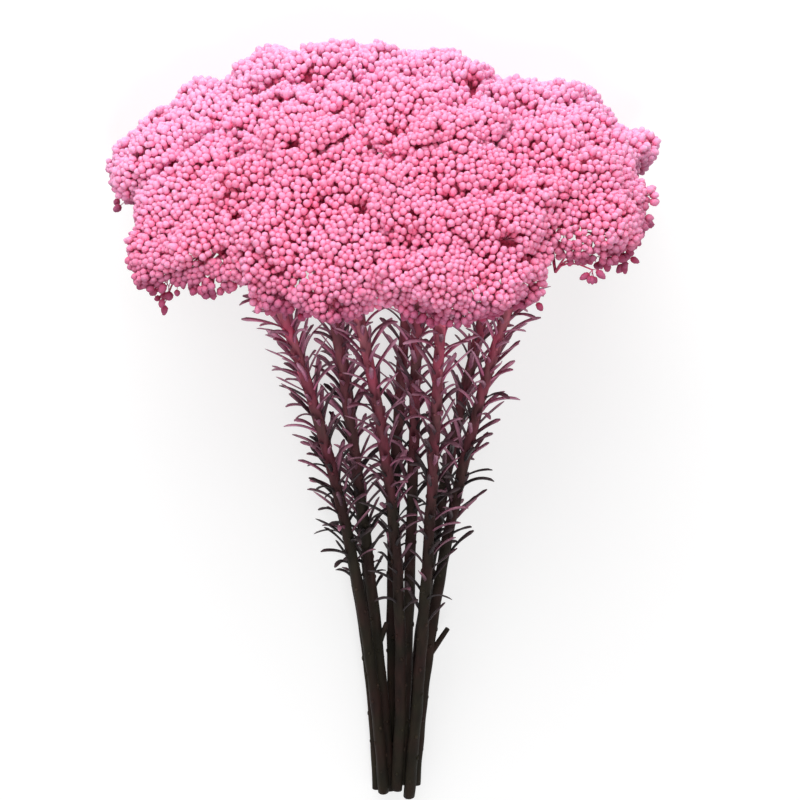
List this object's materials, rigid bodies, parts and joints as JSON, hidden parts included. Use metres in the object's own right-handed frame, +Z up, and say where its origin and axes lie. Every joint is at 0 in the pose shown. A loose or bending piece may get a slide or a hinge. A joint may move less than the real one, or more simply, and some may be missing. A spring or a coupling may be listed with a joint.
{
  "type": "dried rice flower bunch",
  "caption": "Gathered bunch of dried rice flower lying on its side: slim leafy stems that fan out from their cut ends into a wide, low crown of dense pink flower heads.",
  "frame": {"origin": "on the resting surface, under the middle of the bunch", "axes": "+Z up; the stems run along Y, cut ends at -Y and flower heads at +Y; +X is to the right as the picture shows the bunch"},
  "size_m": [0.2737, 0.4025, 0.1957],
  "materials": {
    "stem": "matte",
    "head": "matte"
  },
  "bodies": {
    "root": {"stem_01": "stem", "head_01": "head", "stem_02": "stem", "head_02": "head", "stem_03": "stem", "head_03": "head", "stem_04": "stem", "head_04": "head", "stem_05": "stem", "head_05": "head", "stem_06": "stem", "head_06": "head", "stem_07": "stem", "head_07": "head", "stem_08": "stem", "head_08": "head", "stem_09": "stem", "head_09": "head", "stem_10": "stem", "head_10": "head"}
  },
  "joints": []
}
